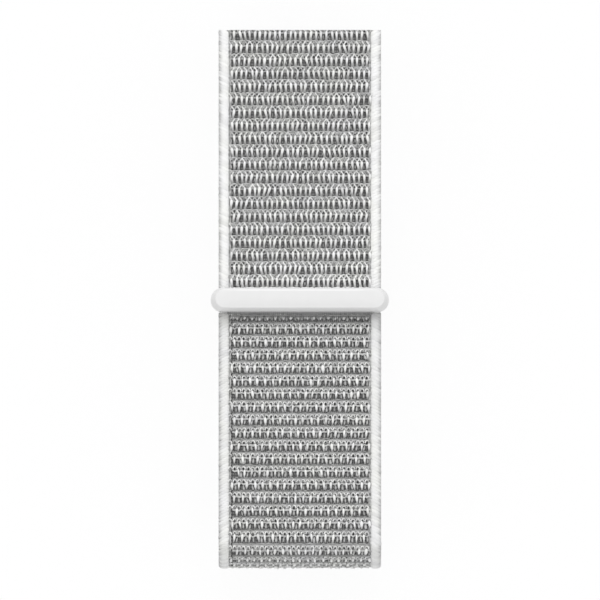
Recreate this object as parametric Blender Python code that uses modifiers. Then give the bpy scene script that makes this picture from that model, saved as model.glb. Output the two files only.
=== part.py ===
"""A hook-and-loop nylon watch strap, closed, lying on its two arms with the clasp up.

Metres, +Z up. X runs across the strap, +Y towards the end of the long strap, and Z = 0 is the
surface that the strap lies on. The origin is below the middle of the clasp bar.
"""

import math

import bmesh
import bpy
from mathutils import Matrix, Vector

# Strap: its width, its woven layers and the closed, flattened loop that it lies in
STRAP_WIDTH = 0.0220
STRAP_THICKNESS = 0.0015
SELVEDGE_WIDTH = 0.0014
WEB_CORE = 0.0006
PILE_THICKNESS = 0.00036
LAYER_GAP = 0.00005
FACE_HEIGHT = 0.0150
HALF_LENGTH = 0.0362
BEND_DEPTH = 0.00325
BEND_STEPS = 14
PANEL_INSET = 0.0002

# Clasp ring: the moulded bar on top, its two cheeks and the rear bar that the strap folds round
BAR_WIDTH = 0.0033
BAR_RISE = 0.0016
BAR_DROP = 0.0009
BAR_ROUNDING = 0.0006
CHEEK_THICKNESS = 0.00085
CHEEK_CLEARANCE = 0.00015
CHEEK_WIDTH = 0.0023
CHEEK_INSET = 0.00005
FOLD_BAR_RADIUS = 0.00055
FOLD_BAR_OFFSET = 0.0002
FOLD_CLEARANCE = 0.00015
FOLD_STEPS = 12
SOCKET_DEPTH = 0.00035

# Hem of the short strap, held in the keyhole channel along the clasp bar
HEM_HEIGHT = 0.0002
HEM_RADIUS = 0.00058
HEM_CHANNEL_RADIUS = 0.00072
HEM_CHANNEL_SPARE = 0.0003
HEM_NECK = 0.00055
HEM_NECK_REACH = 0.0026
SHORT_START = 0.0022
ANCHOR_ROD_RADIUS = 0.00028
SLOT_CLEARANCE = 0.00010
SLOT_SWING_DOWN = math.radians(10)
SLOT_SWING_UP = math.radians(4)

# Long strap: where its tail ends, where the main run rises to the tab, and the tab's hook patch
TAIL_END = 0.0135
TAB_GAP = 0.0003
RAMP_START = 0.0030
RAMP_END = 0.0120
RAMP_RISE = 0.0004
RAMP_STEPS = 6
HOOK_PATCH_START = 0.0150
HOOK_PATCH_END = 0.0335
HOOK_PATCH_INSET = 0.0004
HOOK_PATCH_THICKNESS = 0.0005

# Connector: the rail that slides into the watch case, its fork and the pin through the strap's eye
RAIL_TIP = 0.0145
RAIL_LENGTH = 0.0041
RAIL_HEIGHT = 0.0032
RAIL_ROUNDING = 0.0012
RAIL_HEEL_ROUNDING = 0.0003
FORK_COVER = 0.00005
FORK_WALL = 0.00035
CONNECTOR_INSET = 0.0002
EYE_RADIUS = 0.00130
EYE_CLEARANCE = 0.00020
EYE_NECK = 0.0009
EYE_NECK_REACH = 0.0027
ARM_GAP = 0.00025
PIN_RADIUS = 0.0006
PIN_CLEARANCE = 0.0001
PIN_SINKING = 0.00065
PIN_BORE_RADIUS = 0.00035
PIN_BORE_DEPTH = 0.0010
SCREW_HEAD_RADIUS = 0.00095
SCREW_HEAD_THICKNESS = 0.0004
SCREW_SHANK_RADIUS = 0.00027
SCREW_SHANK_LENGTH = 0.0008
SCREW_SLOT_WIDTH = 0.00025
SCREW_SLOT_DEPTH = 0.00018
SCREW_GAP = 0.0001

# Latch in the rail: a sprung plunger that snaps into the watch case, and the cover that closes it
LATCH_FLANGE_LENGTH = 0.0049
LATCH_FLANGE_WIDTH = 0.0016
LATCH_FLANGE_THICKNESS = 0.0005
LATCH_HEAD_LENGTH = 0.0039
LATCH_HEAD_WIDTH = 0.0010
LATCH_PROTRUSION = 0.0007
LATCH_LIP = 0.0007
LATCH_CLEARANCE = 0.00015
LATCH_COVER_THICKNESS = 0.0005
SPRING_WIRE_RADIUS = 0.0001
SPRING_INSET = 0.0002
SPRING_TURNS = 3
SPRING_POINTS_PER_TURN = 10

ROUND_SEGMENTS = 24
SMALL_SEGMENTS = 16
CORNER_STEPS = 5
BEVEL_SEGMENTS = 3
CUT_OVERRUN = 0.0010
MERGE_DISTANCE = 0.000001
SMOOTH_ANGLE = math.radians(35)
EDGE_ANGLE = math.radians(40)

# Worked out from the sizes above
HALF_THICKNESS = STRAP_THICKNESS / 2
PANEL_WIDTH = STRAP_WIDTH - 2 * SELVEDGE_WIDTH
SHORT_TOP = FACE_HEIGHT - HALF_THICKNESS
FOLD_RADIUS = FOLD_BAR_RADIUS + FOLD_CLEARANCE + HALF_THICKNESS
TAIL_HEIGHT = FACE_HEIGHT - BAR_DROP - FOLD_CLEARANCE - HALF_THICKNESS
FOLD_BAR_HEIGHT = TAIL_HEIGHT - FOLD_RADIUS
MAIN_HEIGHT = FOLD_BAR_HEIGHT - FOLD_RADIUS + RAMP_RISE
CHEEK_INSIDE = STRAP_WIDTH / 2 + CHEEK_CLEARANCE
BAR_LENGTH = 2 * (CHEEK_INSIDE + CHEEK_THICKNESS)
HEM_WIDTH = PANEL_WIDTH - 2 * PANEL_INSET
HEM_CHANNEL_LENGTH = HEM_WIDTH + 2 * HEM_CHANNEL_SPARE
ANCHOR_ROD_LENGTH = HEM_WIDTH - 2 * PANEL_INSET
EYE_WIDTH = PANEL_WIDTH - 2 * PANEL_INSET
HOOK_PATCH_WIDTH = PANEL_WIDTH - 2 * HOOK_PATCH_INSET
CONNECTOR_WIDTH = STRAP_WIDTH - 2 * CONNECTOR_INSET
PIN_LENGTH = CONNECTOR_WIDTH - 2 * PIN_SINKING
FORK_ROUNDING = EYE_RADIUS + FORK_COVER
SPRING_RADIUS = LATCH_FLANGE_WIDTH / 2 - SPRING_WIRE_RADIUS - SPRING_INSET
HEM_CENTRE = FACE_HEIGHT + HEM_HEIGHT
TAB_START = TAIL_END + TAB_GAP
TAB_HINGE_Y = TAIL_END + TAB_GAP / 2
TAB_HINGE_HEIGHT = TAIL_HEIGHT + HALF_THICKNESS
FORK_DEPTH = EYE_RADIUS + EYE_CLEARANCE
RAIL_HEEL = FORK_DEPTH + FORK_WALL
PIN_Y = RAIL_TIP + RAIL_LENGTH + RAIL_HEEL
PIN_HEIGHT = RAIL_HEIGHT / 2
ARM_END = PIN_Y + FORK_ROUNDING + ARM_GAP
LATCH_Y = RAIL_TIP + RAIL_LENGTH / 2
LATCH_POCKET_TOP = RAIL_HEIGHT - LATCH_LIP
LATCH_FLANGE_TOP = LATCH_POCKET_TOP - LATCH_CLEARANCE
LATCH_FLANGE_BOTTOM = LATCH_FLANGE_TOP - LATCH_FLANGE_THICKNESS

FABRIC_WHITE = (0.83, 0.83, 0.82)
PILE_GREY = (0.34, 0.34, 0.335)
MOULDED_WHITE = (0.87, 0.87, 0.87)
HOOK_GREY = (0.62, 0.62, 0.61)
STEEL = (0.60, 0.60, 0.61)
SILVER = (0.72, 0.72, 0.73)


def clear_scene():
    for obj in list(bpy.data.objects):
        bpy.data.objects.remove(obj, do_unlink=True)


def new_collection(name, hidden):
    collection = bpy.data.collections.new(name)
    collection.hide_render = hidden
    bpy.context.scene.collection.children.link(collection)
    return collection


clear_scene()
PARTS = new_collection("nylon_watch_strap", False)
CUTTERS = new_collection("cutters", True)


def finish_material(name, colour, roughness, metallic):
    material = bpy.data.materials.new(name)
    material.use_nodes = True
    shader = material.node_tree.nodes["Principled BSDF"]
    shader.inputs["Base Color"].default_value = (*colour, 1)
    shader.inputs["Roughness"].default_value = roughness
    shader.inputs["Metallic"].default_value = metallic
    material.diffuse_color = (*colour, 1)
    return material


def fabric(name, colour):
    return finish_material(name, colour, 0.85, 0)


def metal(name, colour):
    return finish_material(name, colour, 0.3, 1)


def place_part(obj, body, material):
    """Names the object's material and hangs it on its body's empty, where it lies."""
    PARTS.objects.link(obj)
    obj.data.materials.clear()
    obj.data.materials.append(material)
    obj.data.shade_smooth()
    obj.data.set_sharp_from_angle(angle=SMOOTH_ANGLE)
    obj.parent = body
    obj.matrix_parent_inverse = Matrix.Translation(-Vector(body.location))
    return obj


def place_cutter(obj):
    CUTTERS.objects.link(obj)
    obj.hide_render = True
    obj.display_type = "WIRE"
    return obj


def joint_empty(name, centre):
    empty = bpy.data.objects.new(name, None)
    empty.location = centre
    PARTS.objects.link(empty)
    return empty


def solid_from_curves(name, curve, guides):
    """The mesh that a curve makes, with its caps welded to its sides."""
    source = bpy.data.objects.new(name, curve)
    bpy.context.scene.collection.objects.link(source)
    bpy.context.view_layer.update()
    evaluated = source.evaluated_get(bpy.context.evaluated_depsgraph_get())
    mesh = bpy.data.meshes.new_from_object(evaluated)
    for made in [source, *guides]:
        bpy.data.objects.remove(made, do_unlink=True)
    edited = bmesh.new()
    edited.from_mesh(mesh)
    bmesh.ops.remove_doubles(edited, verts=edited.verts, dist=MERGE_DISTANCE)
    bmesh.ops.recalc_face_normals(edited, faces=edited.faces)
    edited.to_mesh(mesh)
    edited.free()
    mesh.name = name
    return bpy.data.objects.new(name, mesh)


def poly_curve(name, points, closed):
    curve = bpy.data.curves.new(name, "CURVE")
    curve.dimensions = "2D"
    spline = curve.splines.new("POLY")
    spline.points.add(len(points) - 1)
    for place, (across, up) in zip(spline.points, points):
        place.co = (across, up, 0, 1)
    spline.use_cyclic_u = closed
    return curve


# A flat curve's X and Y lie along the strap's Y and Z, and its thickness along X
SIDE_VIEW = Matrix(((0, 0, 1, 0), (1, 0, 0, 0), (0, 1, 0, 0), (0, 0, 0, 1)))


def side_outline(name, points, width, across=0.0):
    """A flat outline in the Y-Z plane, as wide as given, centred at the place across."""
    curve = poly_curve(name, points, True)
    curve.fill_mode = "BOTH"
    curve.extrude = width / 2
    obj = solid_from_curves(name, curve, [])
    obj.data.transform(Matrix.Translation((across, 0, 0)) @ SIDE_VIEW)
    return obj


def plan_outline(name, points, bottom, top, centre_y):
    """A flat outline in the X-Y plane, between two heights."""
    curve = poly_curve(name, points, True)
    curve.fill_mode = "BOTH"
    curve.extrude = (top - bottom) / 2
    obj = solid_from_curves(name, curve, [])
    obj.data.transform(Matrix.Translation((0, centre_y, (top + bottom) / 2)))
    return obj


def swept_layer(name, path, section):
    """A section, given across and through the strap, swept along a path in the Y-Z plane."""
    outline = poly_curve(name + "_section", [(through, across) for across, through in section], True)
    guide = bpy.data.objects.new(name + "_section", outline)
    bpy.context.scene.collection.objects.link(guide)
    curve = poly_curve(name, path, False)
    curve.bevel_mode = "OBJECT"
    curve.bevel_object = guide
    curve.use_fill_caps = True
    obj = solid_from_curves(name, curve, [guide])
    obj.data.transform(SIDE_VIEW)
    return obj


def cylinder_x(name, radius, length, centre, segments):
    mesh = bpy.data.meshes.new(name)
    made = bmesh.new()
    turn = Matrix.Translation(centre) @ Matrix.Rotation(math.pi / 2, 4, "Y")
    bmesh.ops.create_cone(
        made,
        cap_ends=True,
        segments=segments,
        radius1=radius,
        radius2=radius,
        depth=length,
        matrix=turn,
    )
    made.to_mesh(mesh)
    made.free()
    return bpy.data.objects.new(name, mesh)


def box(name, size, centre, turn=0.0):
    """A box, turned about X."""
    mesh = bpy.data.meshes.new(name)
    made = bmesh.new()
    place = Matrix.Translation(centre) @ Matrix.Rotation(turn, 4, "X") @ Matrix.Diagonal((*size, 1))
    bmesh.ops.create_cube(made, size=1, matrix=place)
    made.to_mesh(mesh)
    made.free()
    return bpy.data.objects.new(name, mesh)


def boolean(obj, other, operation, solver="EXACT"):
    place_cutter(other)
    modifier = obj.modifiers.new(other.name, "BOOLEAN")
    modifier.operation = operation
    modifier.object = other
    modifier.solver = solver


def soften(obj, width):
    modifier = obj.modifiers.new("softened_edges", "BEVEL")
    modifier.width = width
    modifier.segments = BEVEL_SEGMENTS
    modifier.limit_method = "ANGLE"
    modifier.angle_limit = EDGE_ANGLE
    modifier.use_clamp_overlap = False


def turned_x(name, profile, centre, side):
    """A turned piece with its axis along X. The profile is (radius, along), from its far end down."""
    mesh = bpy.data.meshes.new(name)
    edges = [(index, index + 1) for index in range(len(profile) - 1)]
    mesh.from_pydata([(radius, 0, along) for radius, along in profile], edges, [])
    obj = bpy.data.objects.new(name, mesh)
    modifier = obj.modifiers.new("turning", "SCREW")
    modifier.steps = SMALL_SEGMENTS
    modifier.render_steps = SMALL_SEGMENTS
    modifier.use_merge_vertices = True
    modifier.merge_threshold = MERGE_DISTANCE
    obj.location = centre
    obj.rotation_euler = (0, side * math.pi / 2, 0)
    return obj


def rounded(corners):
    """An outline with each corner, given as (x, y, radius), replaced by an arc."""
    points = []
    for index, (x, y, radius) in enumerate(corners):
        here = Vector((x, y))
        before = Vector(corners[index - 1][:2]) - here
        after = Vector(corners[(index + 1) % len(corners)][:2]) - here
        if radius == 0:
            points.append((x, y))
            continue
        half = before.angle(after) / 2
        centre = here + (before.normalized() + after.normalized()).normalized() * radius / math.sin(half)
        start = here + before.normalized() * radius / math.tan(half) - centre
        end = here + after.normalized() * radius / math.tan(half) - centre
        sweep = start.angle_signed(end)
        for step in range(CORNER_STEPS + 1):
            turn = Matrix.Rotation(-sweep * step / CORNER_STEPS, 2)
            points.append(tuple(centre + turn @ start))
    return points


def stadium(length, width):
    """A long hole's outline: two straight sides and two half-round ends."""
    radius = width / 2
    straight = length / 2 - radius
    points = []
    for side in (1, -1):
        for step in range(2 * CORNER_STEPS + 1):
            angle = math.pi * (step / (2 * CORNER_STEPS) - 0.5)
            points.append((side * (straight + radius * math.cos(angle)), side * radius * math.sin(angle)))
    return points


def bend(end_y, top, bottom):
    """The strap's bend at one end of the flattened loop: half an ellipse, from the top run down."""
    centre_y = end_y - BEND_DEPTH
    centre_z = (top + bottom) / 2
    rise = (top - bottom) / 2
    points = []
    for step in range(BEND_STEPS + 1):
        angle = math.pi * (0.5 - step / BEND_STEPS)
        points.append((centre_y + BEND_DEPTH * math.cos(angle), centre_z + rise * math.sin(angle)))
    return points


def mirrored(path):
    return [(-y, z) for y, z in path]


def tail_and_fold():
    """The tail, from its end to the fold bar, and half way round the bar."""
    points = [(TAIL_END, TAIL_HEIGHT)]
    for step in range(FOLD_STEPS + 1):
        angle = math.pi * (0.5 + step / FOLD_STEPS)
        along = FOLD_BAR_OFFSET + FOLD_RADIUS * math.cos(angle)
        points.append((along, FOLD_BAR_HEIGHT + FOLD_RADIUS * math.sin(angle)))
    return points


def main_run():
    """The main run, which rises from the fold bar to the height under the tab, then its bend and arm."""
    points = []
    for step in range(RAMP_STEPS + 1):
        share = step / RAMP_STEPS
        rise = RAMP_RISE * (1 - (1 + math.cos(math.pi * share)) / 2)
        along = RAMP_START + (RAMP_END - RAMP_START) * share
        points.append((along, MAIN_HEIGHT - RAMP_RISE + rise))
    return points + bend(HALF_LENGTH - HALF_THICKNESS, MAIN_HEIGHT, HALF_THICKNESS)


LONG_PATH = tail_and_fold() + main_run() + [(ARM_END, HALF_THICKNESS)]
SHORT_BEND = bend(HALF_LENGTH - HALF_THICKNESS, SHORT_TOP, HALF_THICKNESS)
SHORT_PATH = mirrored([(SHORT_START, SHORT_TOP)] + SHORT_BEND + [(ARM_END, HALF_THICKNESS)])
TAB_PATH = [(TAB_START, TAIL_HEIGHT), (HALF_LENGTH, TAIL_HEIGHT)]


def web_section():
    """The web's section: full thickness at the two selvedges and a thin core between them."""
    edge = STRAP_WIDTH / 2
    panel = PANEL_WIDTH / 2
    core = WEB_CORE / 2
    full = HALF_THICKNESS
    quarter = [(edge, full), (panel, full), (panel, core)]
    left = [(-across, through) for across, through in reversed(quarter)]
    upper = quarter + left
    return upper + [(across, -through) for across, through in reversed(upper)]


def pile_section(side):
    """One face's loop pile, in the recess between the selvedges."""
    across = PANEL_WIDTH / 2 - LAYER_GAP
    low = WEB_CORE / 2 + LAYER_GAP
    high = low + PILE_THICKNESS
    return [(across, side * low), (across, side * high), (-across, side * high), (-across, side * low)]


def trimmed(path, start, end):
    """The path with its two ends drawn back along their own runs."""
    first, second, before, last = (Vector(path[index]) for index in (0, 1, -2, -1))
    begin = first + (second - first).normalized() * start
    finish = last + (before - last).normalized() * end
    return [tuple(begin), *path[1:-1], tuple(finish)]


def add_eye(web, name, centre, root, radius, bore, neck, width):
    """Ends the web in an eye round a rod: a neck from its core, a round end and the rod's bore.

    The exact solver leaves open edges on the swept web, so these cuts use the other one.
    """
    middle = (Vector(centre) + Vector(root)) / 2
    reach = Vector(root) - Vector(centre)
    turn = math.atan2(reach.y, reach.x)
    disc = cylinder_x(name + "_round", radius, width, (0, *centre), ROUND_SEGMENTS)
    boolean(web, disc, "UNION", "MANIFOLD")
    plate = box(name + "_neck", (width, reach.length, neck), (0, *middle), turn)
    boolean(web, plate, "UNION", "MANIFOLD")
    hole = cylinder_x(name + "_bore", bore, width + CUT_OVERRUN, (0, *centre), ROUND_SEGMENTS)
    boolean(web, hole, "DIFFERENCE", "MANIFOLD")


def add_pin_eye(web, name, side):
    """The eye at the connector's end of an arm."""
    centre = (side * PIN_Y, PIN_HEIGHT)
    root = (side * (PIN_Y + EYE_NECK_REACH), HALF_THICKNESS)
    add_eye(web, name, centre, root, EYE_RADIUS, PIN_RADIUS + PIN_CLEARANCE, EYE_NECK, EYE_WIDTH)


def make_long_strap(body):
    web = swept_layer("long_strap_web", LONG_PATH, web_section())
    add_pin_eye(web, "long_eye", 1)
    place_part(web, body, fabric("long_strap_web", FABRIC_WHITE))
    path = trimmed(LONG_PATH, 0.0, SELVEDGE_WIDTH)
    outer = swept_layer("long_strap_outer_pile", path, pile_section(1))
    place_part(outer, body, fabric("long_strap_outer_pile", PILE_GREY))
    skin = swept_layer("long_strap_skin_pile", path, pile_section(-1))
    place_part(skin, body, fabric("long_strap_skin_pile", PILE_GREY))


def make_tab(body):
    web = swept_layer("closing_tab_web", TAB_PATH, web_section())
    place_part(web, body, fabric("closing_tab_web", FABRIC_WHITE))
    outer = swept_layer("closing_tab_outer_pile", TAB_PATH, pile_section(-1))
    place_part(outer, body, fabric("closing_tab_outer_pile", PILE_GREY))
    skin = swept_layer("closing_tab_skin_pile", TAB_PATH, pile_section(1))
    place_part(skin, body, fabric("closing_tab_skin_pile", PILE_GREY))
    length = HOOK_PATCH_END - HOOK_PATCH_START
    middle = (HOOK_PATCH_START + HOOK_PATCH_END) / 2
    height = TAIL_HEIGHT - HALF_THICKNESS - LAYER_GAP - HOOK_PATCH_THICKNESS / 2
    patch = box("hook_patch", (HOOK_PATCH_WIDTH, length, HOOK_PATCH_THICKNESS), (0, middle, height))
    place_part(patch, body, fabric("hook_patch", HOOK_GREY))


def make_short_strap(body):
    web = swept_layer("short_strap_web", SHORT_PATH, web_section())
    add_pin_eye(web, "short_eye", -1)
    centre = (0.0, HEM_CENTRE)
    root = (-HEM_NECK_REACH, SHORT_TOP)
    bore = ANCHOR_ROD_RADIUS + SLOT_CLEARANCE
    add_eye(web, "hem", centre, root, HEM_RADIUS, bore, HEM_NECK, HEM_WIDTH)
    place_part(web, body, fabric("short_strap_web", FABRIC_WHITE))
    path = trimmed(SHORT_PATH, HEM_NECK_REACH - SHORT_START + HEM_NECK / 2, SELVEDGE_WIDTH)
    outer = swept_layer("short_strap_outer_pile", path, pile_section(-1))
    place_part(outer, body, fabric("short_strap_outer_pile", PILE_GREY))
    skin = swept_layer("short_strap_skin_pile", path, pile_section(1))
    place_part(skin, body, fabric("short_strap_skin_pile", PILE_GREY))
    rod = cylinder_x("anchor_rod", ANCHOR_ROD_RADIUS, ANCHOR_ROD_LENGTH, (0, *centre), ROUND_SEGMENTS)
    place_part(rod, body, finish_material("anchor_rod", MOULDED_WHITE, 0.4, 0))


def hem_slot():
    """The outline that opens the clasp bar's channel towards the short strap, as wide as its swing."""
    slope = math.atan2(HEM_CENTRE - SHORT_TOP, HEM_NECK_REACH)
    half = HEM_NECK / 2 + SLOT_CLEARANCE
    reach = BAR_WIDTH / 2 + CUT_OVERRUN
    points = []
    for angle, side in ((slope - SLOT_SWING_UP, 1), (slope + SLOT_SWING_DOWN, -1)):
        along = Vector((-math.cos(angle), -math.sin(angle)))
        off = Vector((-along.y, along.x)) * -side * half
        edge = [Vector((0, HEM_CENTRE)) + off, Vector((0, HEM_CENTRE)) + off + along * reach]
        points += edge if side > 0 else edge[::-1]
    return [tuple(point) for point in points]


def cheek_outline():
    """A cheek of the ring, seen from the side: straight down from the bar and round below."""
    half = CHEEK_WIDTH / 2
    low = FOLD_BAR_HEIGHT - half
    top = FACE_HEIGHT
    left = FOLD_BAR_OFFSET - half
    right = FOLD_BAR_OFFSET + half
    return rounded([(left, top, 0), (left, low, half), (right, low, half), (right, top, 0)])


def make_ring(body):
    """The ring. Seen from above, its cheeks stay just inside the bar's full-round ends.

    The exact solver can drop a facet where they meet the bar, so that union uses the other one.
    """
    low = FACE_HEIGHT - BAR_DROP
    top = FACE_HEIGHT + BAR_RISE
    ring = plan_outline("clasp_ring", stadium(BAR_LENGTH, BAR_WIDTH), low, top, 0.0)
    soften(ring, BAR_ROUNDING)
    axis = (0, 0, HEM_CENTRE)
    channel = cylinder_x("hem_channel", HEM_CHANNEL_RADIUS, HEM_CHANNEL_LENGTH, axis, ROUND_SEGMENTS)
    boolean(ring, channel, "DIFFERENCE")
    boolean(ring, side_outline("hem_slot", hem_slot(), HEM_CHANNEL_LENGTH), "DIFFERENCE")
    outline = stadium(BAR_LENGTH - 2 * CHEEK_INSET, BAR_WIDTH - 2 * CHEEK_INSET)
    axis = (0, FOLD_BAR_OFFSET, FOLD_BAR_HEIGHT)
    socket = 2 * (CHEEK_INSIDE + SOCKET_DEPTH)
    radius = FOLD_BAR_RADIUS + PIN_CLEARANCE
    for side, name in ((-1, "left_cheek"), (1, "right_cheek")):
        across = side * (CHEEK_INSIDE + CHEEK_THICKNESS / 2)
        cheek = side_outline(name, cheek_outline(), CHEEK_THICKNESS, across)
        limit = plan_outline(name + "_limit", outline, FOLD_BAR_HEIGHT - CHEEK_WIDTH, top, 0.0)
        boolean(cheek, limit, "INTERSECT")
        bore = cylinder_x(name + "_socket", radius, socket, axis, ROUND_SEGMENTS)
        boolean(cheek, bore, "DIFFERENCE")
        boolean(ring, cheek, "UNION", "MANIFOLD")
    place_part(ring, body, finish_material("clasp_ring", MOULDED_WHITE, 0.22, 0))
    length = socket - 2 * PIN_CLEARANCE
    rod = cylinder_x("fold_bar", FOLD_BAR_RADIUS, length, axis, ROUND_SEGMENTS)
    place_part(rod, body, metal("fold_bar", STEEL))


def connector_outline(side):
    """The connector seen from the side: the fork round the pin and the thicker rail."""
    fork = FORK_ROUNDING
    heel = RAIL_HEEL
    rail = RAIL_HEIGHT / 2
    tip = RAIL_HEEL + RAIL_LENGTH
    corners = [
        (-fork, -fork, fork),
        (heel, -fork, 0),
        (heel, -rail, RAIL_HEEL_ROUNDING),
        (tip, -rail, RAIL_ROUNDING),
        (tip, rail, RAIL_ROUNDING),
        (heel, rail, RAIL_HEEL_ROUNDING),
        (heel, fork, 0),
        (-fork, fork, fork),
    ]
    return [(side * (PIN_Y - along), PIN_HEIGHT + up) for along, up in rounded(corners)]


def make_connector_body(prefix, side, body):
    rail = side_outline(prefix + "_connector", connector_outline(side), CONNECTOR_WIDTH)
    fork_width = EYE_WIDTH + 2 * EYE_CLEARANCE
    fork_length = FORK_DEPTH + FORK_ROUNDING + CUT_OVERRUN
    fork_y = side * (PIN_Y - FORK_DEPTH + fork_length / 2)
    size = (fork_width, fork_length, RAIL_HEIGHT + CUT_OVERRUN)
    boolean(rail, box(prefix + "_fork_gap", size, (0, fork_y, PIN_HEIGHT)), "DIFFERENCE")
    axis = (0, side * PIN_Y, PIN_HEIGHT)
    through = CONNECTOR_WIDTH + CUT_OVERRUN
    radius = PIN_RADIUS + PIN_CLEARANCE
    hole = cylinder_x(prefix + "_pin_hole", radius, through, axis, ROUND_SEGMENTS)
    boolean(rail, hole, "DIFFERENCE")
    for end, label in ((-1, "left"), (1, "right")):
        inner = PIN_LENGTH / 2
        outer = CONNECTOR_WIDTH / 2 + CUT_OVERRUN
        centre = (end * (inner + outer) / 2, side * PIN_Y, PIN_HEIGHT)
        name = prefix + "_counterbore_" + label
        radius = SCREW_HEAD_RADIUS + SCREW_GAP
        boolean(rail, cylinder_x(name, radius, outer - inner, centre, ROUND_SEGMENTS), "DIFFERENCE")
    centre_y = side * LATCH_Y
    spare = 2 * LATCH_CLEARANCE
    wide = stadium(LATCH_FLANGE_LENGTH + spare, LATCH_FLANGE_WIDTH + spare)
    pocket = plan_outline(prefix + "_latch_pocket", wide, -CUT_OVERRUN, LATCH_POCKET_TOP, centre_y)
    boolean(rail, pocket, "DIFFERENCE")
    narrow = stadium(LATCH_HEAD_LENGTH + spare, LATCH_HEAD_WIDTH + spare)
    top = RAIL_HEIGHT + CUT_OVERRUN
    mouth = plan_outline(prefix + "_latch_mouth", narrow, PIN_HEIGHT, top, centre_y)
    boolean(rail, mouth, "DIFFERENCE")
    place_part(rail, body, metal(prefix + "_connector", SILVER))


def make_pin_and_screws(prefix, side, body):
    half = PIN_LENGTH / 2
    floor = half - PIN_BORE_DEPTH
    upper = [(0, floor), (PIN_BORE_RADIUS, floor), (PIN_BORE_RADIUS, half), (PIN_RADIUS, half)]
    profile = upper + [(radius, -along) for radius, along in reversed(upper)]
    pin = turned_x(prefix + "_strap_pin", profile, (0, side * PIN_Y, PIN_HEIGHT), 1)
    place_part(pin, body, metal(prefix + "_strap_pin", STEEL))
    head = SCREW_HEAD_THICKNESS
    shank = -SCREW_SHANK_LENGTH
    outline = [(0, head), (SCREW_HEAD_RADIUS, head), (SCREW_HEAD_RADIUS, 0)]
    outline += [(SCREW_SHANK_RADIUS, 0), (SCREW_SHANK_RADIUS, shank), (0, shank)]
    for end, label in ((-1, "left"), (1, "right")):
        name = prefix + "_pin_screw_" + label
        seat = end * (half + SCREW_GAP)
        screw = turned_x(name, outline, (seat, side * PIN_Y, PIN_HEIGHT), end)
        size = (2 * SCREW_SLOT_DEPTH, 2 * SCREW_HEAD_RADIUS + CUT_OVERRUN, SCREW_SLOT_WIDTH)
        centre = (seat + end * head, side * PIN_Y, PIN_HEIGHT)
        boolean(screw, box(name + "_slot", size, centre), "DIFFERENCE")
        place_part(screw, body, metal(name, STEEL))


def make_spring(prefix, side, body):
    bottom = LATCH_COVER_THICKNESS + LAYER_GAP + SPRING_WIRE_RADIUS
    top = LATCH_FLANGE_BOTTOM - LAYER_GAP - SPRING_WIRE_RADIUS
    curve = bpy.data.curves.new(prefix + "_latch_spring", "CURVE")
    curve.dimensions = "3D"
    curve.bevel_depth = SPRING_WIRE_RADIUS
    curve.bevel_resolution = 1
    curve.use_fill_caps = True
    count = SPRING_TURNS * SPRING_POINTS_PER_TURN
    spline = curve.splines.new("POLY")
    spline.points.add(count)
    for step, place in enumerate(spline.points):
        angle = 2 * math.pi * step / SPRING_POINTS_PER_TURN
        along = side * LATCH_Y + SPRING_RADIUS * math.sin(angle)
        place.co = (SPRING_RADIUS * math.cos(angle), along, bottom + (top - bottom) * step / count, 1)
    spring = solid_from_curves(prefix + "_latch_spring", curve, [])
    place_part(spring, body, metal(prefix + "_latch_spring", STEEL))


def make_latch(prefix, side, connector, plunger_body):
    centre_y = side * LATCH_Y
    name = prefix + "_latch_plunger"
    outline = stadium(LATCH_FLANGE_LENGTH, LATCH_FLANGE_WIDTH)
    plunger = plan_outline(name, outline, LATCH_FLANGE_BOTTOM, LATCH_FLANGE_TOP, centre_y)
    outline = stadium(LATCH_HEAD_LENGTH, LATCH_HEAD_WIDTH)
    top = RAIL_HEIGHT + LATCH_PROTRUSION
    middle = (LATCH_FLANGE_BOTTOM + LATCH_FLANGE_TOP) / 2
    boolean(plunger, plan_outline(name + "_head", outline, middle, top, centre_y), "UNION")
    place_part(plunger, plunger_body, metal(name, STEEL))
    make_spring(prefix, side, connector)
    outline = stadium(LATCH_FLANGE_LENGTH, LATCH_FLANGE_WIDTH)
    cover = plan_outline(prefix + "_latch_cover", outline, LAYER_GAP, LATCH_COVER_THICKNESS, centre_y)
    place_part(cover, connector, metal(prefix + "_latch_cover", SILVER))


def make_connector(prefix, side):
    connector = joint_empty(prefix + "_connector_joint", (0, side * PIN_Y, PIN_HEIGHT))
    latch = joint_empty(prefix + "_latch_joint", (0, side * LATCH_Y, LATCH_FLANGE_BOTTOM))
    make_connector_body(prefix, side, connector)
    make_pin_and_screws(prefix, side, connector)
    make_latch(prefix, side, connector, latch)


def main():
    make_long_strap(joint_empty("long_strap_root", (0, 0, 0)))
    make_tab(joint_empty("closing_tab_joint", (0, TAB_HINGE_Y, TAB_HINGE_HEIGHT)))
    make_short_strap(joint_empty("short_strap_joint", (0, 0, HEM_CENTRE)))
    make_ring(joint_empty("clasp_ring_joint", (0, FOLD_BAR_OFFSET, FOLD_BAR_HEIGHT)))
    make_connector("long", 1)
    make_connector("short", -1)


main()
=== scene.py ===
"""Looks of a closed hook-and-loop nylon watch strap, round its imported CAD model.

Lengths here are in millimetres and become metres where a mesh is made. A strap's own coordinates are
x across it, s along the middle of its thickness, and n off that middle.
"""

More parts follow.
